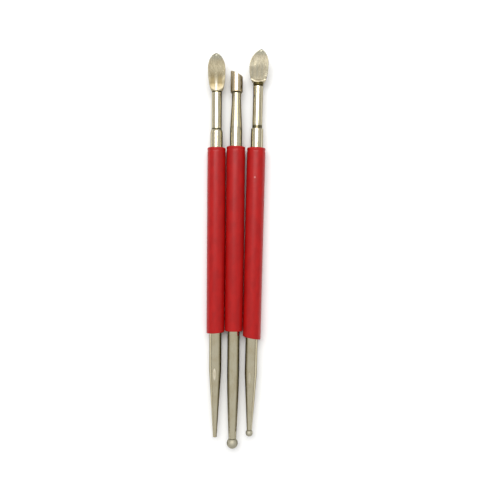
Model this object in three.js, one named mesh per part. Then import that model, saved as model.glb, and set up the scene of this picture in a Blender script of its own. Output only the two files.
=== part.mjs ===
// Set of three double-ended sculpting spatulas, lying side by side on their grips.
// Units are millimetres, +Z is up, and the working heads point towards +Y.
// Each tool is turned about its own axis: a core tube carries a push-fit PVC grip sleeve,
// a neck rod with a brazed head is pressed into its upper end, and a tapered tip into its lower end.
import * as THREE from 'three';

// Round stock, as radii.
const SIDES = 32;
const GRIP_RADIUS = 4.1;
const GRIP_BORE = 2.8;
const CORE_RADIUS = 2.75;
const CORE_BORE = 2.05;
const SPIGOT_RADIUS = 2;
const SPIGOT_LENGTH = 12;
const TENON_RADIUS = 0.9;
const TENON_LENGTH = 1.6;
const BALL_TENON_RADIUS = 0.8;
const BALL_BRAZE = 0.45;

// Clearance between pieces, and the small bevels on their edges.
const FIT = 0.05;
const EDGE = 0.25;
const GRIP_EDGE = 0.3;

// Leaf-shaped bowls: half-height of the flattened root, wall thickness, rim height over the axis and
// depth of the dish.
const BOWL_ROOT = 1.6;
const BOWL_WALL = 0.8;
const BOWL_RIM = 1.1;
const BOWL_DEPTH = 0.55;

// Places along a bowl, as shares of its length: the round root is flattened by BOWL_RIM_END above,
// and from BOWL_HEEL to BOWL_THIN below.
const BOWL_RIM_END = 0.2;
const BOWL_HEEL = 0.12;
const BOWL_THIN = 0.35;

// Powers of the bowl's curves: how flat the floor is across, and how the tip leans sideways.
// LEAF_BLUNT and LEAF_ROOT shape the outline's base.
const BOWL_ACROSS = 4;
const TIP_SHIFT_POWER = 3;
const LEAF_BLUNT = 2.5;
const LEAF_ROOT = 0.87;

const BOWL_ROWS = 24;
const BALL_STEPS = 10;

// One entry per tool. Stations are measured along the tool's own axis from the middle of the set.
// A bowl's floor falls from fallFrom to deepest, as shares of its length, then closes to the tip,
// which rises by curl.
const TOOLS = {
  left: {
    axisX: -9.83,
    lean: 0.36,
    grip: { from: -37.5, to: 46.5, slant: 0.07 },
    core: { from: -54.6, to: 54.7 },
    neck: { rootRadius: 2.25, topRadius: 2.25, straight: 16.7, to: 71.5 },
    braze: { radius: 2.3, thickness: 0.7 },
    bowl: {
      rootRadius: 2.25, length: 16.5, halfWidth: 4.1, widest: 9.6,
      fallFrom: 0.02, deepest: 0.2, curl: 2.6, tipShift: -0.2, tipPower: 0.55,
    },
    tip: { endRadius: 0.85, taper: [[1.35, -76.5], [2, -66], [2.7, -54.6]], end: -85.1 },
  },
  middle: {
    axisX: -1.34,
    lean: 0.71,
    grip: { from: -36.7, to: 47, slant: 0 },
    core: { from: -55, to: 55.4 },
    neck: { rootRadius: 2.7, topRadius: 2.05, straight: 3.6, to: 71.3 },
    braze: { radius: 2.5, thickness: 0.4 },
    slantHead: { radius: 2.75, height: 9.8, drop: 2.7, curve: 0.9 },
    tip: { endRadius: 1.7, taper: [[2.1, -77.5], [2.45, -68.2], [2.65, -61], [2.7, -55]] },
    ball: { radius: 2.5, centre: -87.75 },
  },
  right: {
    axisX: 7.46,
    lean: 1.5,
    grip: { from: -39.9, to: 46.45, slant: -0.17 },
    core: { from: -56, to: 55.1 },
    neck: { rootRadius: 2.2, topRadius: 2.2, straight: 19.1, to: 74.35 },
    braze: { radius: 2.35, thickness: 1.8 },
    bowl: {
      rootRadius: 2.2, length: 14.5, halfWidth: 4.45, widest: 7.3,
      fallFrom: 0.02, deepest: 0.15, curl: 2.3, tipShift: 1, tipPower: 0.7,
    },
    tip: { endRadius: 1.15, taper: [[1.45, -76.5], [2.05, -67.5], [2.7, -56]] },
    ball: { radius: 1.6, centre: -83.2 },
  },
};

const MATERIALS = {
  steel: { color: 0xb5ab8c, roughness: 0.3, metalness: 1 },
  grip: { color: 0xb8302b, roughness: 0.5, metalness: 0 },
  braze: { color: 0x50462a, roughness: 0.6, metalness: 1 },
};

// A solid of revolution about the Y axis from [radius, station] pairs. Radii are measured
// across the flats, and one flat faces straight down.
function turned(outline) {
  const acrossCorners = 1 / Math.cos(Math.PI / SIDES);
  const points = outline.map(([radius, station]) => new THREE.Vector2(radius * acrossCorners, station));
  return new THREE.LatheGeometry(points, SIDES, Math.PI / SIDES);
}

// A tube with bevelled outer edges.
function tube(bore, radius, from, to, bevel) {
  return turned([
    [bore, from],
    [radius - bevel, from],
    [radius, from + bevel],
    [radius, to - bevel],
    [radius - bevel, to],
    [bore, to],
    [bore, from],
  ]);
}

// Moves every vertex of a geometry by a function that edits the point in place.
function reshape(geometry, edit) {
  const position = geometry.attributes.position;
  const point = new THREE.Vector3();
  for (let index = 0; index < position.count; index += 1) {
    point.fromBufferAttribute(position, index);
    edit(point);
    position.setXYZ(index, point.x, point.y, point.z);
  }
  geometry.computeVertexNormals();
  return geometry;
}

// PVC sleeve. Its lower end is cut by hand, so that end may run across at a slant.
function gripSleeve({ from, to, slant }) {
  const sleeve = tube(GRIP_BORE, GRIP_RADIUS, from, to, GRIP_EDGE);
  return reshape(sleeve, (point) => {
    if (point.y < (from + to) / 2) {
      point.y += slant * point.x;
    }
  });
}

function coreTube({ from, to }) {
  return tube(CORE_BORE, CORE_RADIUS, from, to, EDGE);
}

// Neck rod: a spigot inside the core, a cone or a straight stretch, and a tenon for the head.
function neckRod({ rootRadius, topRadius, straight, to }, core, braze) {
  const shoulder = core.to + FIT;
  const tenonEnd = to + braze.thickness + TENON_LENGTH;
  return turned([
    [0, core.to - SPIGOT_LENGTH],
    [SPIGOT_RADIUS - EDGE, core.to - SPIGOT_LENGTH],
    [SPIGOT_RADIUS, core.to - SPIGOT_LENGTH + EDGE],
    [SPIGOT_RADIUS, shoulder],
    [rootRadius, shoulder],
    [topRadius, to - straight],
    [topRadius, to],
    [TENON_RADIUS, to],
    [TENON_RADIUS, tenonEnd],
    [0, tenonEnd],
  ]);
}

// Ring of braze metal between a shoulder and the piece that it holds.
function brazeRing(bore, radius, from, to) {
  const middle = (from + to) / 2;
  const flank = (to - from) / 3;
  return turned([
    [bore, from],
    [radius - flank, from],
    [radius, middle],
    [radius - flank, to],
    [bore, to],
    [bore, from],
  ]);
}

// Half-width of a leaf outline: a blunt curve up to the widest station, then a rounded tip.
function leafHalfWidth(along, { halfWidth, widest, length, tipPower }) {
  if (along < widest) {
    const down = LEAF_ROOT * (1 - along / widest);
    return halfWidth * (1 - down ** LEAF_BLUNT) ** (1 / LEAF_BLUNT);
  }
  const up = Math.min((along - widest) / (length - widest), 1);
  return halfWidth * (1 - up * up) ** tipPower;
}

// Moves a point of a bowl's skin from a plain cylinder to its place. Its share is 0 at the root and
// 1 at the tip; across and upward are the sine and cosine of its angle round the cylinder.
function shapeSkin(point, share, across, upward, bowl) {
  const { smoothstep, lerp, clamp } = THREE.MathUtils;
  const above = smoothstep(share, 0, BOWL_RIM_END);
  const below = smoothstep(share, BOWL_HEEL, BOWL_THIN);
  const fallen = clamp((share - bowl.fallFrom) / (bowl.deepest - bowl.fallFrom), 0, 1);
  const beyond = Math.max(share - bowl.deepest, 0) / (1 - bowl.deepest);
  const hollow = BOWL_DEPTH * fallen * (1 - beyond) * (1 - across ** BOWL_ACROSS);
  const rim = BOWL_RIM * above + bowl.curl * beyond;
  point.x = across * leafHalfWidth(point.y, bowl) + bowl.tipShift * share ** TIP_SHIFT_POWER;
  if (upward > 0) {
    point.z = rim + upward * lerp(BOWL_ROOT, BOWL_WALL / 2, above) - hollow;
  } else {
    const half = lerp(BOWL_ROOT, BOWL_WALL / 2, below) + BOWL_RIM * (above - below);
    point.z = rim + upward * half - hollow * below;
  }
}

// Leaf bowl, hollow side up, with a round root and a blind socket for the neck's tenon.
function leafBowl(bowl, from) {
  const socket = TENON_RADIUS + FIT;
  const socketEnd = TENON_LENGTH + FIT;
  const points = [
    new THREE.Vector2(0, socketEnd),
    new THREE.Vector2(socket, socketEnd),
    new THREE.Vector2(socket, 0),
  ];
  for (let row = 0; row < BOWL_ROWS; row += 1) {
    const along = (bowl.length / 2) * (1 - Math.cos((row / BOWL_ROWS) * Math.PI));
    points.push(new THREE.Vector2(bowl.rootRadius, along));
  }
  points.push(new THREE.Vector2(0, bowl.length));
  const leaf = new THREE.LatheGeometry(points, SIDES);
  const socketReach = (socket + bowl.rootRadius) / 2;
  return reshape(leaf, (point) => {
    const inSocket = Math.hypot(point.x, point.z) < socketReach && point.y < bowl.length;
    if (!inSocket) {
      const across = point.x / bowl.rootRadius;
      const upward = point.z / bowl.rootRadius;
      shapeSkin(point, point.y / bowl.length, across, upward, bowl);
    }
    point.y += from;
  });
}

// Round head with a blind socket below, cut at a slant that steepens towards its low side.
function slantHead({ radius, height, drop, curve }, from) {
  const socket = TENON_RADIUS + FIT;
  const socketEnd = from + TENON_LENGTH + FIT;
  const head = turned([
    [0, socketEnd],
    [socket, socketEnd],
    [socket, from],
    [radius - EDGE, from],
    [radius, from + EDGE],
    [radius, from + height],
    [0, from + height],
  ]);
  return reshape(head, (point) => {
    if (point.y > from + height / 2) {
      const across = THREE.MathUtils.clamp((point.x / radius + 1) / 2, 0, 1);
      point.y -= drop * Math.pow(across, curve);
    }
  });
}

// Tapered tip with a spigot inside the core. It ends in a blunt point or in a tenon for a ball.
function taperedTip({ endRadius, taper, end }, core, ball) {
  const outline = [];
  if (ball) {
    const from = ballSeat(ball, endRadius) + BALL_BRAZE;
    const tenonEnd = ball.centre + FIT;
    outline.push([0, tenonEnd], [BALL_TENON_RADIUS, tenonEnd], [BALL_TENON_RADIUS, from], [endRadius, from]);
  } else {
    outline.push([0, end], [endRadius - EDGE, end], [endRadius, end + EDGE]);
  }
  outline.push(...taper);
  const shoulder = core.from - FIT;
  const spigotEnd = core.from + SPIGOT_LENGTH;
  outline[outline.length - 1] = [taper[taper.length - 1][0], shoulder];
  outline.push(
    [SPIGOT_RADIUS, shoulder],
    [SPIGOT_RADIUS, spigotEnd - EDGE],
    [SPIGOT_RADIUS - EDGE, spigotEnd],
    [0, spigotEnd],
  );
  return turned(outline);
}

// Station of the flat on a ball where a tip of the given end radius meets it.
function ballSeat({ radius, centre }, endRadius) {
  return centre + Math.sqrt(radius ** 2 - endRadius ** 2);
}

// Ball with a flat seat and a blind hole for the tip's tenon.
function ballEnd(ball, endRadius) {
  const { radius, centre } = ball;
  const hole = BALL_TENON_RADIUS + FIT;
  const seat = ballSeat(ball, endRadius);
  const sweep = Math.PI - Math.asin(endRadius / radius);
  const outline = [[0, centre - radius]];
  for (let step = 1; step <= BALL_STEPS; step += 1) {
    const angle = (sweep * step) / BALL_STEPS;
    outline.push([radius * Math.sin(angle), centre - radius * Math.cos(angle)]);
  }
  outline.push([hole, seat], [hole, centre], [0, centre]);
  return turned(outline);
}

function addPiece(tool, name, geometry, material) {
  const mesh = new THREE.Mesh(geometry, new THREE.MeshStandardMaterial(MATERIALS[material]));
  mesh.name = name;
  tool.add(mesh);
}

// Builds one tool in its own frame, with its axis along Y.
function buildTool(side, sizes) {
  const tool = new THREE.Group();
  const { grip, core, neck, braze, bowl, tip, ball } = sizes;
  const headFrom = neck.to + braze.thickness;
  addPiece(tool, `${side}_grip_sleeve`, gripSleeve(grip), 'grip');
  addPiece(tool, `${side}_core_tube`, coreTube(core), 'steel');
  addPiece(tool, `${side}_neck_rod`, neckRod(neck, core, braze), 'steel');
  const ring = brazeRing(TENON_RADIUS + FIT, braze.radius, neck.to + FIT, headFrom - FIT);
  addPiece(tool, `${side}_head_braze`, ring, 'braze');
  if (bowl) {
    addPiece(tool, `${side}_leaf_bowl`, leafBowl(bowl, headFrom), 'steel');
  } else {
    addPiece(tool, `${side}_slant_head`, slantHead(sizes.slantHead, headFrom), 'steel');
  }
  addPiece(tool, `${side}_tapered_tip`, taperedTip(tip, core, ball), 'steel');
  if (ball) {
    const seat = ballSeat(ball, tip.endRadius);
    const hole = BALL_TENON_RADIUS + FIT;
    const weld = brazeRing(hole, tip.endRadius, seat + FIT, seat + BALL_BRAZE - FIT);
    addPiece(tool, `${side}_ball`, ballEnd(ball, tip.endRadius), 'steel');
    addPiece(tool, `${side}_ball_braze`, weld, 'braze');
  }
  tool.position.set(sizes.axisX, 0, GRIP_RADIUS);
  tool.rotation.z = -THREE.MathUtils.degToRad(sizes.lean);
  return tool;
}

const group = new THREE.Group();
for (const [side, sizes] of Object.entries(TOOLS)) {
  group.add(buildTool(side, sizes));
}

// The origin is on the surface below the middle of the set's box.
group.updateMatrixWorld(true);
const middle = new THREE.Box3().setFromObject(group, true).getCenter(new THREE.Vector3());
group.position.set(-middle.x, -middle.y, 0);

export default group;
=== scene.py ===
"""Looks of the sculpting spatula set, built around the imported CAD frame.

Each tool has its own frame: its axis along Y and the hollow side of its bowl along +Z. Outlines and
meshes are worked out in millimetres in that frame, then placed by the tool's matrix, in metres.
A station is a distance along the axis. A share is a part of a whole, from 0 to 1.
"""
import math

import bpy
from mathutils import Matrix, Vector, noise


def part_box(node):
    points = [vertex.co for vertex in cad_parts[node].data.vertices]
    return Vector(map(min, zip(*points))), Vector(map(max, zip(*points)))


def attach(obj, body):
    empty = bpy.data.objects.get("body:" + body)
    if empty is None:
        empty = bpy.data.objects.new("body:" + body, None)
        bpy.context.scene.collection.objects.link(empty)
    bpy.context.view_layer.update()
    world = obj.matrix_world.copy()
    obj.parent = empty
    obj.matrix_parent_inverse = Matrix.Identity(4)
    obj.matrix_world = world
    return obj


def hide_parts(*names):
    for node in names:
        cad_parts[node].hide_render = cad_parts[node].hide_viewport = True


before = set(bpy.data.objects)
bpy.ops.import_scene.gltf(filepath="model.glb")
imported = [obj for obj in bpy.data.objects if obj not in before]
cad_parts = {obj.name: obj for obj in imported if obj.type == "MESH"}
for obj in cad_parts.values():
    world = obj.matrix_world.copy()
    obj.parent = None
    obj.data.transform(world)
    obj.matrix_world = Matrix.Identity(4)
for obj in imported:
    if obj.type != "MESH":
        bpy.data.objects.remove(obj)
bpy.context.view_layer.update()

MM = 0.001
TOOLS = ("left", "middle", "right")

# Sides of turned pieces here and in the CAD, and steps in a fillet, a braze ring and a ball.
SIDES = 96
CAD_SIDES = 32
FILLET_STEPS = 6
BRAZE_STEPS = 8
BALL_STEPS = 48

# Edges sharper than these angles, in degrees, stay sharp.
TURNED_CREASE = 35
BOWL_CREASE = 18

# The shown pieces stay this far inside the CAD box, and the shown bowls end this far short of it.
BOX_MARGIN = 0.002
BOWL_TRIM = 0.3

# Radii of tenons, spigots and bores, and the gaps between pieces.
TENON_RADIUS = 0.9
SPIGOT_RADIUS = 2.0
CORE_BORE = 2.05
GRIP_BORE = 2.8
BALL_BRAZE_BORE = 0.85
SEAT_GAP = 0.05
NECK_GAP = 0.03
TIP_GAP = 0.01

# Grip sleeves: the slope of the hand-cut lower end, and how much wider a sleeve is towards -X and
# +X, from OVAL_RISE upwards. The edges are fillets, from the lower bore edge round to the upper one.
GRIP_SLANT = {"left": 0.07, "middle": 0.0, "right": -0.17}
OVAL = {"left": (0.015, 0.025), "middle": (0.04, 0.055), "right": (0.06, 0.0)}
OVAL_RISE = (-50, 15)
GRIP_EDGES = (0.2, 0.35, 0.5, 0.25)
GRIP_ROWS = 60
GRIP_UNEVEN = 0.004
GRIP_SKIN = 0.5
MOUTH_WAVE = 0.06

# A shallow groove runs round each sleeve below its upper mouth, and fine rows of points follow it
# from DIP_FROM below the mouth. The plain rows end GRIP_ROWS_END below it.
DIP_DEPTH = 0.025
DIP_BELOW = 1.4
DIP_WANDER = 0.3
DIP_REACH = 0.3
DIP_ROWS = 10
DIP_ROW = 0.15
DIP_FROM = 2.4
GRIP_ROWS_END = 3

# Core tubes, necks and heads. The left core's shoulder is turned down by SHOULDER_STEP.
CORE_SHOULDER = {"left": 1.1, "middle": 0.12, "right": 0.2}
SHOULDER_STEP = 0.4
NECK_RADIUS = {"left": 2.25, "middle": 2.05, "right": 2.2}
NECK_CONE = {"middle": 3.6}
HEAD_DROP = 2.7
HEAD_CURVE = 0.9

# Shanks as (radius, distance below the core, fillet), and the balls on two of them.
TAPERS = {
    "left": [(0.85, 30.45, 0.3), (1.35, 21.9, 3), (2.0, 11.4, 3), (2.75, 0, 0)],
    "middle": [(1.7, 30.6, 0.1), (2.1, 22.5, 3), (2.45, 13.2, 3), (2.68, 6, 3), (2.75, 0, 0)],
    "right": [(1.15, 25.8, 0.1), (1.45, 20.5, 3), (2.05, 11.5, 3), (2.75, 0, 0)],
}
BALL_RADIUS = {"middle": 2.5, "right": 1.6}

# Braze rings: how far the edges are drawn in, and how far the right one creeps up beside its bowl.
BRAZE_ROUND = 0.2
BRAZE_POWER = 0.7
BRAZE_POOL = 0.02
BRAZE_SKIN = 0.1
BRAZE_CREEP = {"left": 0.0, "middle": 0.0, "right": 0.5}

# Bowls. The floor falls from fall_from to deepest, then closes to the tip, which rises by curl. Lips
# say how far out the floor reaches on each side, up to lip_ends, from where it reaches the edge. The
# flutes are fine waves that come and go at the four shares of fan. The ridge is an offset, and the
# swell a height. Satin is where the base's roughness fades out, and shine a share of bright plating.
BOWLS = {
    "left": {
        "half_width": 3.95, "widest": 9.6, "tip_shift": -0.2, "tip_power": 0.55,
        "fall_from": 0.02, "deepest": 0.2, "curl": 2.6,
        "lips": (0.92, 0.9), "lip_ends": (0.3, 0.34),
        "fan": (0.02, 0.12, 0.4, 0.65), "flutes": 0.05, "ridge": -0.25, "swell": 0.0,
        "shine": 0.02, "satin": (0.2, 0.42),
    },
    "right": {
        "half_width": 4.3, "widest": 7.3, "tip_shift": 1.0, "tip_power": 0.7,
        "fall_from": 0.02, "deepest": 0.1, "curl": 2.3,
        "lips": (1.0, 1.0), "lip_ends": (0.3, 0.3),
        "fan": (0.12, 0.25, 0.5, 0.8), "flutes": 0.03, "ridge": None, "swell": 0.1,
        "shine": 0.28, "satin": (0.0, 0.14),
    },
}
BOWL_ROWS = 120
BOWL_SIDES = 144
BOWL_CROWDING = 1.7
BOWL_ROOT = 1.6
BOWL_HALF_WALL = 0.4
BOWL_RIM = 1.1
BOWL_DEPTH = 0.55
BOWL_ACROSS = 4
TIP_SHIFT_POWER = 3
LEAF_BLUNT = 2.5
LEAF_ROOT = 0.87
LEAF_POINT = 0.02
LIP_REACH = 0.1

# Shares along a bowl between which its skin changes: the root flattens above and thins below, the
# section gets squarer, and the wall gets thinner towards the tip.
ROOT_FLATTENS = (0.0, 0.2)
ROOT_THINS = (0.12, 0.35)
SECTION_SQUARES = (0.0, 0.06)
WALL_THINS = (0.45, 0.85)
SQUARENESS = 0.6
WALL_LOSS = 0.6

# Small forms on a bowl's floor. Across is in millimetres and lengthwise in shares.
RIDGE_HEIGHT = 0.2
RIDGE_HALF_WIDTH = 0.75
RIDGE_RISE = (0.05, 0.15)
RIDGE_FADE = (0.15, 0.6)
SWELL_PLACE = (-1.9, 0.44)
SWELL_REACH = (1.5, 0.12)
DIMPLE_DEPTH = 0.08
DIMPLE_PLACE = (0.0, 0.965)
DIMPLE_REACH = (0.35, 0.02)
FLUTE_DENSITY = (4.5, 0.8, 3.0)

# Marks on the metal and the PVC, and painted light. The side shares are painted shade on the faces
# towards -X and +X that look at a neighbouring tool. A neck stain is (height over the core, reach,
# share). A buffed spot is (station, offset, half-length, half-width, share): a rougher satin patch with
# a painted highlight in its colour. A nick is (offset, station). The painted side shade begins where a
# face's normal has the first of the two X shares below, and is full at the second.
NEIGHBOUR_SHADE_SIDES = {"left": (0.0, 0.6), "middle": (0.5, 0.5), "right": (0.5, 0.0)}
SIDE_SHADE_FROM = 0.68
SIDE_SHADE_FULL = 0.92
NECK_STAINS = {"left": (0.15, 0.5, 1.0), "middle": (0.05, 0.2, 0.4), "right": (0.7, 1.1, 0.85)}
STAIN_RAGGED = 0.12
BUFFED_HIGHLIGHTS = {"left": (-56.1, -0.2, 2.5, 0.65, 0.75), "right": (-57.4, -0.55, 2.8, 0.65, 0.2)}
BUFFED_HIGHLIGHT_FADE = 1.6
NICKS = {"right": (-0.5, 33.1)}

# Base roughness of the steel pieces.
ROD_ROUGHNESS = 0.15
HEAD_ROUGHNESS = 0.17
BOWL_ROUGHNESS = 0.24
SATIN_ROUGHNESS = 0.32
BALL_ROUGHNESS = 0.65

# Linear colours.
NICKEL = (0.66, 0.605, 0.44)
NICKEL_WARM = (0.60, 0.53, 0.36)
NICKEL_DULL = (0.50, 0.44, 0.29)
# Bright nickel. It is also the colour of the painted highlights on ridge crests and buffed spots.
NICKEL_BRIGHT = (0.85, 0.80, 0.68)
BOWL_STEEL = (0.60, 0.525, 0.355)
BOWL_WARM = (0.55, 0.47, 0.305)
HEAD_STEEL = (0.60, 0.50, 0.335)
BALL_STEEL = (0.54, 0.51, 0.40)
# Grey of the bowl tips, and of the painted reflection streaks.
TIP_GREY = (0.47, 0.45, 0.345)
# Painted shade in the valleys beside a bowl's ridge.
VALLEY_SHADE = (0.43, 0.34, 0.18)
EDGE_TINT = (0.06, 0.05, 0.035, 1.0)
# Dark colour of the neck stains, and of the painted shade on the sides that face other tools.
STAIN_AND_SIDE_SHADE = (0.06, 0.048, 0.018)
BRAZE_DARK = (0.05, 0.038, 0.012)
BRAZE_LIGHT = (0.17, 0.135, 0.05)
BRAZE_PALE = (0.40, 0.35, 0.22)
PVC_RED = (0.43, 0.006, 0.005)
PVC_DEEP = (0.35, 0.005, 0.005)
PVC_NICK = (0.75, 0.33, 0.31)
PVC_SCUFF = (0.62, 0.05, 0.04)
PVC_IOR = 1.36
FLOOR_LIGHT = (0.97, 0.97, 0.965)
FLOOR_SHADE = (0.95, 0.95, 0.945)

# Floor, light and camera, in metres. The camera looks straight down, from beside the middle tool.
FLOOR_HALF = 3.0
PANEL_PLACE = (-0.12, 0.6, 1.2)
PANEL_SIZE = (1.2, 0.8)
PANEL_RADIANCE = 4.4
HORIZON_LEVEL = 0.3
OVERHEAD_LEVEL = 0.67
OVERHEAD_FROM = 0.55
CAMERA_HEIGHT = 0.275
CAMERA_OFFSET = Vector((0.0070, -0.00019, CAMERA_HEIGHT))
CAMERA_CLIP = 0.01
FRAME_WIDTH = 0.2275
SENSOR_WIDTH = 36.0


# ---------------------------------------------------------------- frame of each tool

def centre(node):
    low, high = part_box(node)
    return (low + high) / 2


def tool_place(side):
    """Middle of a tool's core tube, which is the origin of its own frame, and its turn about Z."""
    core = centre(f"{side}_core_tube")
    along = centre(f"{side}_head_braze") - core
    return core, math.atan2(-along.x, along.y)


def tool_matrix(side):
    core, turn = tool_place(side)
    return Matrix.Translation(core) @ Matrix.Rotation(turn, 4, "Z")


def span(side, part):
    """(lowest station, highest station, radius) of a CAD node in its tool's frame, in millimetres."""
    back = tool_matrix(side).inverted()
    points = [back @ v.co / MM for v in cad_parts[f"{side}_{part}"].data.vertices]
    stations = [p.y for p in points]
    corner = max(math.hypot(p.x, p.z) for p in points)
    return min(stations), max(stations), corner * math.cos(math.pi / CAD_SIDES)


# ---------------------------------------------------------------- mesh building

def smooth(value, low, high):
    """0 up to low, 1 from high, and a smooth rise between them."""
    t = min(max((value - low) / (high - low), 0.0), 1.0)
    return t * t * (3 - 2 * t)


def mound(place, middle, reach):
    """Rounded mound over two coordinates: 1 at its middle, and nearly 0 at twice its reach."""
    return math.exp(-sum(((p - m) / r) ** 2 for p, m, r in zip(place, middle, reach)))


def rounded(corners, closed=False):
    """Outline through (radius, station, fillet) corners, with each fillet as a short curve."""
    count = len(corners)
    outline = []
    for index, (radius, station, fillet) in enumerate(corners):
        here = Vector((radius, station))
        if fillet == 0 or (not closed and index in (0, count - 1)):
            outline.append((radius, station))
            continue
        before = Vector(corners[index - 1][:2]) - here
        after = Vector(corners[(index + 1) % count][:2]) - here
        start = here + before.normalized() * min(fillet, before.length * 0.48)
        stop = here + after.normalized() * min(fillet, after.length * 0.48)
        for step in range(FILLET_STEPS + 1):
            t = step / FILLET_STEPS
            point = start * (1 - t) ** 2 + here * 2 * t * (1 - t) + stop * t * t
            outline.append((point.x, point.y))
    if closed:
        outline.append(outline[0])
    return outline


def revolve(outline):
    """Points and faces of a solid of revolution about Y, from (radius, station) pairs."""
    looped = outline[0] == outline[-1]
    points, faces, rows = [], [], []
    for radius, station in outline[:-1] if looped else outline:
        around = SIDES if radius > 0 else 1
        rows.append(range(len(points), len(points) + around))
        for step in range(around):
            angle = math.tau * step / SIDES
            points.append(Vector((radius * math.sin(angle), station, radius * math.cos(angle))))
    if looped:
        rows.append(rows[0])
    for low, high in zip(rows, rows[1:]):
        for step in range(SIDES):
            after = (step + 1) % SIDES
            if len(low) > 1 and len(high) > 1:
                faces.append((low[step], low[after], high[after], high[step]))
            elif len(high) > 1:
                faces.append((low[0], high[after], high[step]))
            elif len(low) > 1:
                faces.append((low[step], low[after], high[0]))
    return points, faces


def piece(side, part, points, faces, material, crease=TURNED_CREASE):
    """Makes the shown piece for one CAD node and hangs it on the tool's body."""
    name = f"{side}_{part}"
    place = tool_matrix(side)
    mesh = bpy.data.meshes.new(f"{name}_shown")
    mesh.from_pydata([place @ (p * MM) for p in points], [], faces)
    mesh.validate()
    mesh.shade_smooth()
    mesh.set_sharp_from_angle(angle=math.radians(crease))
    mesh.materials.append(material)
    shown = bpy.data.objects.new(f"{name}_shown", mesh)
    bpy.context.scene.collection.objects.link(shown)
    weighted = shown.modifiers.new("weighted_normals", "WEIGHTED_NORMAL")
    weighted.weight = 100
    weighted.keep_sharp = True
    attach(shown, f"{side}_tool")
    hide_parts(name)


# ---------------------------------------------------------------- materials

class Graph:
    """A small helper around one material's node tree. Its space is a tool's own frame."""

    def __init__(self, name, side=None):
        self.material = bpy.data.materials.new(name)
        self.material.use_nodes = True
        self.tree = self.material.node_tree
        self.shader = self.tree.nodes["Principled BSDF"]
        self.space = self.tree.nodes.new("ShaderNodeTexCoord").outputs["Object"]
        self.seed = 0.0
        if side:
            core, turn = tool_place(side)
            self.seed = 37.0 * (1 + TOOLS.index(side))
            inputs = {"Vector": self.space, "Location": core, "Rotation": (0, 0, turn)}
            self.space = self.node("ShaderNodeMapping", inputs, vector_type="TEXTURE")

    def node(self, kind, inputs, output=0, **settings):
        made = self.tree.nodes.new(kind)
        for key, value in settings.items():
            setattr(made, key, value)
        for key, value in inputs.items():
            if isinstance(value, bpy.types.NodeSocket):
                self.tree.links.new(value, made.inputs[key])
            else:
                made.inputs[key].default_value = value
        return made.outputs[output]

    def noise(self, across, along, detail=3.0, roughness=0.55, distortion=0.0, turn=0.0):
        """Noise whose features are this many millimetres wide and long, after a turn about Z."""
        scale = (1 / MM / across, 1 / MM / along, 1 / MM / across)
        seeded = (self.seed, self.seed, self.seed)
        space = self.node("ShaderNodeMapping", {"Vector": self.space, "Rotation": (0, 0, turn)})
        where = self.node("ShaderNodeMapping", {"Vector": space, "Scale": scale, "Location": seeded})
        inputs = {"Vector": where, "Scale": 1.0, "Detail": detail, "Roughness": roughness,
                  "Distortion": distortion}
        return self.node("ShaderNodeTexNoise", inputs, "Fac")

    def math(self, operation, first, second=0.0):
        return self.node("ShaderNodeMath", {0: first, 1: second}, operation=operation)

    def product(self, first, *others):
        for other in others:
            first = self.math("MULTIPLY", first, other)
        return first

    def spread(self, value, low, high, new_low, new_high):
        """Smooth change from new_low to new_high as the value goes from low to high."""
        inputs = {"Value": value, "From Min": low, "From Max": high, "To Min": new_low, "To Max": new_high}
        return self.node("ShaderNodeMapRange", inputs, "Result", interpolation_type="SMOOTHSTEP")

    def blend(self, share, first, second):
        """Mix of two colours, given as colours or sockets."""
        made = self.tree.nodes.new("ShaderNodeMix")
        made.data_type = "RGBA"
        for key, value in ((0, share), (6, first), (7, second)):
            if isinstance(value, bpy.types.NodeSocket):
                self.tree.links.new(value, made.inputs[key])
            else:
                made.inputs[key].default_value = value if key == 0 else (*value, 1.0)
        return made.outputs[2]

    def bump(self, height, distance, strength=1.0, normal=None):
        """Normal bent by a height that goes this many millimetres up."""
        inputs = {"Height": height, "Distance": distance * MM, "Strength": strength}
        if normal is not None:
            inputs["Normal"] = normal
        return self.node("ShaderNodeBump", inputs, "Normal")

    def along(self, axis="Y"):
        """Millimetres along one axis of the tool's frame."""
        split = self.node("ShaderNodeSeparateXYZ", {"Vector": self.space}, axis)
        return self.math("MULTIPLY", split, 1 / MM)

    def distance(self, offset, station, half_width=1.0, half_length=1.0):
        """Square of the distance from a point seen from above, in half-widths and half-lengths."""
        lengthwise = self.math("DIVIDE", self.math("SUBTRACT", self.along(), station), half_length)
        sideways = self.math("DIVIDE", self.math("SUBTRACT", self.along("X"), offset), half_width)
        return self.math("ADD", self.math("POWER", lengthwise, 2.0), self.math("POWER", sideways, 2.0))

    def sides(self, shares):
        """Painted shade: these shares on the faces that look along -X and +X, and 0 between them."""
        facing = self.node("ShaderNodeNewGeometry", {}, "Normal")
        facing = self.node("ShaderNodeSeparateXYZ", {"Vector": facing}, "X")
        minus = self.spread(facing, -SIDE_SHADE_FULL, -SIDE_SHADE_FROM, shares[0], 0.0)
        return self.math("ADD", minus, self.spread(facing, SIDE_SHADE_FROM, SIDE_SHADE_FULL, 0.0, shares[1]))

    def band(self, station, reach):
        """1 at a station of the tool, falling to 0 at this reach on both sides, with a ragged edge."""
        offset = self.math("ABSOLUTE", self.math("SUBTRACT", self.along(), station))
        edge = self.spread(self.noise(0.6, 0.6), 0.3, 0.7, -STAIN_RAGGED, STAIN_RAGGED)
        return self.spread(self.math("ADD", offset, edge), reach * 0.45, reach, 1.0, 0.0)

    def shade(self, **sockets):
        for key, value in sockets.items():
            socket = self.shader.inputs[key.replace("_", " ")]
            if isinstance(value, bpy.types.NodeSocket):
                self.tree.links.new(value, socket)
            else:
                socket.default_value = value
        return self.material


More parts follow.
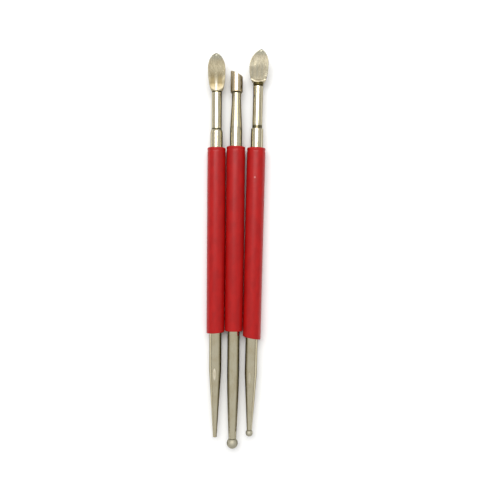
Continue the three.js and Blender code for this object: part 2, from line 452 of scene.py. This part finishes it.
def turned_steel(name, side, roughness, stain=None, buffed_highlight=None, tones=(NICKEL, NICKEL_WARM)):
    """Plated steel with fine turning rings, faint cloudiness and painted shade on the sides that face other
    tools.

    The stain is dark residue as (station, reach, share). The buffed spot is one rougher satin patch on top,
    with a painted highlight in its colour.
    """
    g = Graph(name, side)
    cloud = g.spread(g.noise(3.0, 6.0), 0.35, 0.7, 0.0, 1.0)
    # Painted shade on the sides that face neighbouring tools.
    colour = g.blend(g.sides(NEIGHBOUR_SHADE_SIDES[side]), g.blend(cloud, *tones), STAIN_AND_SIDE_SHADE)
    if stain:
        station, reach, share = stain
        colour = g.blend(g.product(g.band(station, reach), share), colour, STAIN_AND_SIDE_SHADE)
    ring_lines = g.noise(6.0, 0.05, detail=2.0)
    scratches = g.noise(0.08, 5.0, detail=2.0)
    rough = g.math("ADD", g.spread(ring_lines, 0.3, 0.7, -0.03, 0.03), roughness)
    rough = g.math("ADD", rough, g.spread(cloud, 0.0, 1.0, -0.01, 0.04))
    if buffed_highlight:
        station, offset, half_length, half_width, share = buffed_highlight
        distance = g.distance(offset, station, half_width, half_length)
        spot = g.spread(distance, 0.0, BUFFED_HIGHLIGHT_FADE, share, 0.0)
        rough = g.math("ADD", rough, spot)
        # Painted highlight: the buffed spot turns bright as well as rough.
        colour = g.blend(spot, colour, NICKEL_BRIGHT)
    normal = g.bump(ring_lines, 0.004)
    normal = g.bump(scratches, 0.0012, normal=normal)
    return g.shade(Base_Color=colour, Metallic=1.0, Roughness=rough, Normal=normal, Specular_Tint=EDGE_TINT)


def ridge_shade_and_highlight(g, ridge, share, colour):
    """Painted brown shade in the valleys on both sides of a bowl's ridge, and a painted highlight on its
    crest.
    """
    aside = g.math("ABSOLUTE", g.math("SUBTRACT", g.along("X"), ridge))
    across = g.product(g.spread(aside, 0.4, 1.1, 0.0, 1.0), g.spread(aside, 2.3, 3.1, 1.0, 0.0))
    lengthwise = g.product(g.spread(share, 0.04, 0.22, 0.0, 1.0), g.spread(share, 0.3, 0.58, 1.0, 0.0))
    colour = g.blend(g.product(across, lengthwise), colour, VALLEY_SHADE)
    crest_highlight = g.product(g.spread(aside, 0.2, 0.55, 0.9, 0.0), g.spread(share, 0.2, 0.34, 1.0, 0.0))
    return g.blend(crest_highlight, colour, NICKEL_BRIGHT)


def streak_reflection_colour(g, share, colour):
    """Painted reflection: evenly spaced grey streaks along the lower half of a bowl."""
    wave = g.math("SINE", g.math("MULTIPLY", g.math("ADD", g.along("X"), 0.05), 2.9))
    lengthwise = g.product(g.spread(share, 0.1, 0.2, 0.0, 1.0), g.spread(share, 0.45, 0.7, 1.0, 0.0))
    return g.blend(g.product(g.spread(wave, -0.95, 0.4, 0.5, 0.0), lengthwise), colour, TIP_GREY)


def bowl_steel(name, side):
    """Hand-finished plated steel: a satin base, polishing streaks along the bowl, a greyer tip, and near
    the base a painted highlight and shade about the ridge, or painted reflection streaks where there is no
    ridge.
    """
    g = Graph(name, side)
    bowl = BOWLS[side]
    low, high, _ = span(side, "leaf_bowl")
    share = g.math("DIVIDE", g.math("SUBTRACT", g.along(), low), high - low)
    cloud = g.spread(g.noise(1.6, 2.4), 0.35, 0.7, 0.0, 1.0)
    worn = g.spread(g.noise(0.45, 9.0, detail=2.0), 0.35, 0.7, 0.0, 0.6)
    colour = g.blend(cloud, BOWL_STEEL, BOWL_WARM)
    colour = g.blend(bowl["shine"], colour, NICKEL_BRIGHT)
    colour = g.blend(worn, colour, NICKEL_DULL)
    # Painted shade and highlight about the ridge, or painted reflection streaks on a bowl without one.
    if bowl["ridge"] is not None:
        colour = ridge_shade_and_highlight(g, bowl["ridge"], share, colour)
    else:
        colour = streak_reflection_colour(g, share, colour)
    colour = g.blend(g.spread(share, 0.76, 0.9, 0.0, 0.95), colour, TIP_GREY)
    streaks = g.noise(0.22, 5.0, detail=4.0, distortion=0.4)
    satin = g.spread(share, *bowl["satin"], SATIN_ROUGHNESS, 0.0)
    rough = g.math("ADD", g.spread(streaks, 0.3, 0.7, -0.05, 0.06), g.math("ADD", satin, BOWL_ROUGHNESS))
    scored = g.product(g.noise(0.3, 4.0, turn=0.9), g.spread(share, 0.7, 0.85, 0.0, 1.0))
    normal = g.bump(g.noise(1.1, 1.6, detail=2.0), 0.008)
    normal = g.bump(scored, 0.03, normal=normal)
    normal = g.bump(streaks, 0.005, normal=normal)
    normal = g.bump(g.noise(0.05, 1.2, detail=2.0), 0.002, normal=normal)
    return g.shade(Base_Color=colour, Metallic=1.0, Roughness=rough, Normal=normal, Specular_Tint=EDGE_TINT)


def braze_metal(name, side, dark=BRAZE_DARK, light=BRAZE_LIGHT):
    """Oxidised braze with a rough, pooled skin."""
    g = Graph(name, side)
    patches = g.spread(g.noise(0.5, 0.5), 0.35, 0.65, 0.0, 1.0)
    colour = g.blend(patches, dark, light)
    rough = g.spread(g.noise(0.3, 0.3), 0.3, 0.7, 0.4, 0.65)
    normal = g.bump(g.noise(0.35, 0.35), 0.06)
    return g.shade(Base_Color=colour, Metallic=1.0, Roughness=rough, Normal=normal)


def soft_pvc(name, side):
    """Red tube stock: satin, with faint draw lines, soft mottling, a few scuffs and perhaps a nick."""
    g = Graph(name, side)
    mottle = g.spread(g.noise(2.5, 5.0, detail=4.0), 0.3, 0.7, 0.0, 1.0)
    colour = g.blend(mottle, PVC_RED, PVC_DEEP)
    scuffs = g.spread(g.noise(0.3, 1.4, detail=5.0, roughness=0.7), 0.68, 0.82, 0.0, 0.35)
    colour = g.blend(scuffs, colour, PVC_SCUFF)
    if side in NICKS:
        nick = g.spread(g.distance(*NICKS[side]), 0.02, 0.3, 0.5, 0.0)
        colour = g.blend(nick, colour, PVC_NICK)
    draw = g.noise(0.12, 12.0, detail=2.0)
    skin = g.noise(0.12, 0.12, detail=2.0)
    rough = g.math("ADD", g.spread(draw, 0.3, 0.7, -0.03, 0.05), g.spread(scuffs, 0.0, 0.35, 0.33, 0.55))
    normal = g.bump(g.noise(1.8, 7.0, detail=1.0), 0.04, 0.7)
    normal = g.bump(draw, 0.006, normal=normal)
    normal = g.bump(skin, 0.005, normal=normal)
    return g.shade(Base_Color=colour, Roughness=rough, Normal=normal, IOR=PVC_IOR)


# ---------------------------------------------------------------- pieces

def grip_sleeve(side, material):
    """PVC sleeve with softly rounded mouths and a hand-cut lower end."""
    low, high, radius = span(side, "grip_sleeve")
    radius -= BOX_MARGIN
    slant = GRIP_SLANT[side]
    low += abs(slant) * radius
    bore_low, rim_low, rim_high, bore_high = GRIP_EDGES
    row_gap = (high - low - GRIP_ROWS_END) / GRIP_ROWS
    corners = [(GRIP_BORE, low, bore_low), (radius, low, rim_low)]
    corners += [(radius, low + row_gap * (row + 1), 0) for row in range(GRIP_ROWS)]
    corners += [(radius, high - DIP_FROM + DIP_ROW * row, 0) for row in range(DIP_ROWS)]
    corners += [(radius, high, rim_high), (GRIP_BORE, high, bore_high)]
    points, faces = revolve(rounded(corners, closed=True))
    for p in points:
        angle = math.atan2(p.x, p.z)
        if math.hypot(p.x, p.z) > GRIP_BORE + GRIP_SKIN:
            wander = DIP_WANDER * noise.noise(Vector((2 * p.x / radius, 2 * p.z / radius, radius)))
            dip = 1 - DIP_DEPTH * math.exp(-((high - p.y - DIP_BELOW - wander) / DIP_REACH) ** 2)
            oval = OVAL[side][int(p.x > 0)] * smooth(p.y, *OVAL_RISE)
            p.x *= dip * (1 + oval)
            p.z *= dip
        if p.y < (low + high) / 2:
            p.y += slant * p.x
        else:
            p.y -= MOUTH_WAVE * (1 + math.sin(angle + 1.0))
        uneven = 1 + noise.noise(Vector((math.sin(angle), p.y * 0.05, math.cos(angle))))
        shrink = 1 - GRIP_UNEVEN * uneven
        p.x *= shrink
        p.z *= shrink
    piece(side, "grip_sleeve", points, faces, material)


def core_tube(side, material):
    """Tube through the grip. Its upper shoulder is turned down by a different amount on each tool."""
    low, high, radius = span(side, "core_tube")
    shoulder = CORE_SHOULDER[side]
    corners = [(CORE_BORE, low, 0.1), (radius, low, 0)]
    if shoulder > SHOULDER_STEP:
        corners += [(radius, high - shoulder, 0.5), (radius - SHOULDER_STEP, high, 0.08)]
    else:
        corners.append((radius, high, shoulder))
    corners.append((CORE_BORE, high, 0.05))
    points, faces = revolve(rounded(corners, closed=True))
    piece(side, "core_tube", points, faces, material)


def neck_rod(side, material):
    """Rod with a cone on the middle tool, a spigot in the core and a tenon in the head."""
    low, high, root = span(side, "neck_rod")
    foot = span(side, "core_tube")[1] + NECK_GAP
    shoulder = span(side, "head_braze")[0] - SEAT_GAP
    top = NECK_RADIUS[side]
    root = max(root, top)
    corners = [(0, low, 0), (SPIGOT_RADIUS, low, 0.2), (SPIGOT_RADIUS, foot, 0), (root, foot, 0.06)]
    if side in NECK_CONE:
        corners.append((top, shoulder - NECK_CONE[side], 2.0))
    corners += [(top, shoulder, 0.1), (TENON_RADIUS, shoulder, 0), (TENON_RADIUS, high, 0.1), (0, high, 0)]
    points, faces = revolve(rounded(corners))
    piece(side, "neck_rod", points, faces, material)


def braze_ring(side, part, bore, creep, material):
    """Pooled ring of braze. On its +X side it creeps up over the piece above it."""
    low, high, radius = span(side, part)
    middle = (low + high) / 2
    outline = [(bore, low)]
    for step in range(BRAZE_STEPS + 1):
        angle = math.pi * step / BRAZE_STEPS
        drawn_in = (1 - math.sin(angle) ** BRAZE_POWER) * BRAZE_ROUND * radius
        outline.append((radius - drawn_in, middle - (high - low) / 2 * math.cos(angle)))
    outline += [(bore, high), (bore, low)]
    points, faces = revolve(outline)
    for p in points:
        reach = math.hypot(p.x, p.z)
        if reach < bore + BRAZE_SKIN:
            continue
        angle = math.atan2(p.x, p.z)
        pool = 1 + BRAZE_POOL * noise.noise(Vector((2 * math.sin(angle), p.y, 2 * math.cos(angle))))
        p.y += creep * smooth(p.x / reach, 0.1, 1.0) * smooth(p.y, low, high)
        p.x *= pool
        p.z *= pool
    piece(side, part, points, faces, material)


def leaf_half_width(along, length, bowl):
    """Half-width of the leaf: a blunt curve up to the widest station, then a rounded tip."""
    if along < bowl["widest"]:
        down = LEAF_ROOT * (1 - along / bowl["widest"])
        return bowl["half_width"] * (1 - down ** LEAF_BLUNT) ** (1 / LEAF_BLUNT)
    up = min((along - bowl["widest"]) / (length - bowl["widest"]), 1.0)
    return max(bowl["half_width"] * (1 - up * up) ** bowl["tip_power"], LEAF_POINT)


def leaf_height(t, across, upward, width, bowl):
    """Height of the leaf's skin at a share of its length, a share across it, and top or bottom."""
    above = smooth(t, *ROOT_FLATTENS)
    below = smooth(t, *ROOT_THINS)
    fall = min(max((t - bowl["fall_from"]) / (bowl["deepest"] - bowl["fall_from"]), 0.0), 1.0)
    beyond = max(t - bowl["deepest"], 0.0) / (1 - bowl["deepest"])
    rim = BOWL_RIM * above + bowl["curl"] * beyond
    depth = BOWL_DEPTH * fall * (1 - beyond)
    flatness = 1 - across ** BOWL_ACROSS
    if upward <= 0:
        half = BOWL_ROOT * (1 - below) + BOWL_HALF_WALL * below + BOWL_RIM * (above - below)
        return rim + upward * half - depth * below * flatness
    x = across * width
    section = upward ** (1 - SQUARENESS * smooth(t, *SECTION_SQUARES))
    wall = BOWL_HALF_WALL * (1 - WALL_LOSS * smooth(t, *WALL_THINS))
    on_right = int(across > 0)
    lip = bowl["lips"][on_right]
    lip_end = bowl["lip_ends"][on_right]
    lip += (1 - lip) * smooth(t, lip_end - LIP_REACH, lip_end + LIP_REACH)
    height = rim + section * (BOWL_ROOT * (1 - above) + wall * above)
    height -= depth * max(0.0, 1 - (across / lip) ** BOWL_ACROSS)
    fan_from, fan_full, fan_fade, fan_end = bowl["fan"]
    fan = smooth(t, fan_from, fan_full) * (1 - smooth(t, fan_fade, fan_end))
    grain = noise.noise(Vector((across, t, 1.0)) * Vector(FLUTE_DENSITY))
    height += bowl["flutes"] * fan * grain * flatness
    height += bowl["swell"] * mound((x, t), SWELL_PLACE, SWELL_REACH)
    height -= DIMPLE_DEPTH * mound((x, t), DIMPLE_PLACE, DIMPLE_REACH)
    if bowl["ridge"] is not None:
        spine = math.exp(-abs((x - bowl["ridge"]) / RIDGE_HALF_WIDTH) ** 3)
        height += RIDGE_HEIGHT * spine * smooth(t, *RIDGE_RISE) * (1 - smooth(t, *RIDGE_FADE))
    return height


def leaf_bowl(side, material):
    """Leaf with a round root, a hollow with faint flutes and perhaps a ridge, and lips at its base."""
    low, high, _ = span(side, "leaf_bowl")
    bowl = BOWLS[side]
    length = high - low - BOWL_TRIM
    shares = [1 - (1 - row / BOWL_ROWS) ** BOWL_CROWDING for row in range(BOWL_ROWS + 1)]
    shares = sorted(shares + [bowl["fall_from"], bowl["deepest"]])
    points, faces = [], []
    for t in shares:
        width = leaf_half_width(t * length, length, bowl)
        for step in range(BOWL_SIDES):
            angle = math.tau * step / BOWL_SIDES
            across = math.sin(angle)
            x = across * width + bowl["tip_shift"] * t ** TIP_SHIFT_POWER
            z = leaf_height(t, across, math.cos(angle), width, bowl)
            points.append(Vector((x, low + t * length, z)))
    root_centre = len(points)
    points.append(Vector((0, low, 0)))
    tip_centre = len(points)
    points.append(Vector((bowl["tip_shift"], low + length, BOWL_RIM + bowl["curl"])))
    last = len(shares) - 1
    for step in range(BOWL_SIDES):
        after = (step + 1) % BOWL_SIDES
        for row in range(0, last * BOWL_SIDES, BOWL_SIDES):
            faces.append((row + step, row + after, row + BOWL_SIDES + after, row + BOWL_SIDES + step))
        faces.append((root_centre, after, step))
        faces.append((tip_centre, last * BOWL_SIDES + step, last * BOWL_SIDES + after))
    piece(side, "leaf_bowl", points, faces, material, BOWL_CREASE)


def slant_head(side, material):
    """Round head, cut at a slant."""
    low, high, radius = span(side, "slant_head")
    outline = rounded([(0, low, 0), (radius, low, 0.3), (radius, high, 0.25), (0, high, 0)])
    outline[-1:-1] = [(radius * share, high) for share in (0.8, 0.6, 0.4, 0.2)]
    points, faces = revolve(outline)
    for p in points:
        if p.y > (low + high) / 2:
            across = min(max((p.x / radius + 1) / 2, 0.0), 1.0)
            p.y -= HEAD_DROP * across ** HEAD_CURVE
    piece(side, "slant_head", points, faces, material)


def tapered_tip(side, material):
    """Tapered shank with its spigot."""
    low, high, _ = span(side, "tapered_tip")
    shoulder = span(side, "core_tube")[0] - TIP_GAP
    corners = [(0, low, 0)]
    corners += [(radius, shoulder - down, fillet) for radius, down, fillet in TAPERS[side]]
    corners += [(SPIGOT_RADIUS, shoulder, 0), (SPIGOT_RADIUS, high, 0.2), (0, high, 0)]
    points, faces = revolve(rounded(corners))
    piece(side, "tapered_tip", points, faces, material)


def ball(side, material):
    """Ball with a small flat where it meets the shank."""
    low, high, _ = span(side, "ball")
    radius = BALL_RADIUS[side]
    middle = low + radius
    sweep = math.pi - math.acos((high - middle) / radius)
    outline = [(0, low)]
    for step in range(1, BALL_STEPS + 1):
        angle = sweep * step / BALL_STEPS
        outline.append((radius * math.sin(angle), middle - radius * math.cos(angle)))
    outline.append((0, high))
    points, faces = revolve(outline)
    piece(side, "ball", points, faces, material)


def build_tool(side):
    """All the shown pieces of one tool, each on its own CAD node."""
    rise, reach, share = NECK_STAINS[side]
    stain = (span(side, "core_tube")[1] + rise, reach, share)
    spot = BUFFED_HIGHLIGHTS.get(side)
    neck_steel = turned_steel(f"{side}_neck_steel", side, ROD_ROUGHNESS, stain)
    core_steel = turned_steel(f"{side}_core_steel", side, ROD_ROUGHNESS, buffed_highlight=spot)
    tip_steel = turned_steel(f"{side}_tip_steel", side, ROD_ROUGHNESS, buffed_highlight=spot)
    braze = braze_metal(f"{side}_braze", side)
    head_braze = braze
    if side == "middle":
        head_braze = braze_metal("head_braze", side, BRAZE_LIGHT, BRAZE_PALE)
    grip_sleeve(side, soft_pvc(f"{side}_pvc", side))
    core_tube(side, core_steel)
    neck_rod(side, neck_steel)
    braze_ring(side, "head_braze", TENON_RADIUS + SEAT_GAP, BRAZE_CREEP[side], head_braze)
    if side in BOWLS:
        leaf_bowl(side, bowl_steel(f"{side}_bowl_steel", side))
    else:
        tones = (HEAD_STEEL, HEAD_STEEL)
        slant_head(side, turned_steel("head_steel", side, HEAD_ROUGHNESS, tones=tones))
    tapered_tip(side, tip_steel)
    if side in BALL_RADIUS:
        tones = (BALL_STEEL, BALL_STEEL)
        ball(side, turned_steel(f"{side}_ball_steel", side, BALL_ROUGHNESS, tones=tones))
        braze_ring(side, "ball_braze", BALL_BRAZE_BORE, 0.0, braze)


# ---------------------------------------------------------------- floor, light and camera

def floor():
    """Plain pale ground with very faint, wide clouds."""
    half = FLOOR_HALF
    mesh = bpy.data.meshes.new("floor")
    corners = [(-half, -half, 0), (half, -half, 0), (half, half, 0), (-half, half, 0)]
    mesh.from_pydata(corners, [], [(0, 1, 2, 3)])
    g = Graph("floor")
    tone = g.spread(g.noise(60.0, 60.0), 0.3, 0.7, 0.0, 1.0)
    colour = g.blend(tone, FLOOR_LIGHT, FLOOR_SHADE)
    mesh.materials.append(g.shade(Base_Color=colour, Roughness=0.9, Specular_IOR_Level=0.0))
    plane = bpy.data.objects.new("floor", mesh)
    bpy.context.scene.collection.objects.link(plane)


def overhead_panel():
    """Soft rectangular light that faces the middle of the set."""
    light = bpy.data.lights.new("overhead_panel", "AREA")
    light.shape = "RECTANGLE"
    light.size, light.size_y = PANEL_SIZE
    light.energy = PANEL_RADIANCE * math.pi * light.size * light.size_y
    lamp = bpy.data.objects.new("overhead_panel", light)
    lamp.location = PANEL_PLACE
    lamp.rotation_euler = (-Vector(PANEL_PLACE)).to_track_quat("-Z", "Y").to_euler()
    bpy.context.scene.collection.objects.link(lamp)


def surroundings():
    """Even grey light from all round, weaker near the horizon."""
    world = bpy.data.worlds.new("studio")
    world.use_nodes = True
    tree = world.node_tree
    direction = tree.nodes.new("ShaderNodeTexCoord").outputs["Generated"]
    split = tree.nodes.new("ShaderNodeSeparateXYZ")
    level = tree.nodes.new("ShaderNodeMapRange")
    level.interpolation_type = "SMOOTHSTEP"
    level.inputs["From Min"].default_value = 0.0
    level.inputs["From Max"].default_value = OVERHEAD_FROM
    level.inputs["To Min"].default_value = HORIZON_LEVEL
    level.inputs["To Max"].default_value = OVERHEAD_LEVEL
    tree.links.new(direction, split.inputs["Vector"])
    tree.links.new(split.outputs["Z"], level.inputs["Value"])
    tree.links.new(level.outputs["Result"], tree.nodes["Background"].inputs["Strength"])
    tree.nodes["Background"].inputs["Color"].default_value = (1, 1, 1, 1)
    bpy.context.scene.world = world


def view_from_above():
    """Camera straight over the set, a little beside the middle tool."""
    camera = bpy.data.cameras.new("camera")
    camera.sensor_width = SENSOR_WIDTH
    camera.lens = SENSOR_WIDTH * CAMERA_HEIGHT / FRAME_WIDTH
    camera.clip_start = CAMERA_CLIP
    viewer = bpy.data.objects.new("camera", camera)
    viewer.location = centre("middle_core_tube") + CAMERA_OFFSET
    bpy.context.scene.collection.objects.link(viewer)
    bpy.context.scene.camera = viewer


for tool in TOOLS:
    build_tool(tool)
floor()
overhead_panel()
surroundings()
bpy.context.scene.view_settings.view_transform = "Standard"
view_from_above()
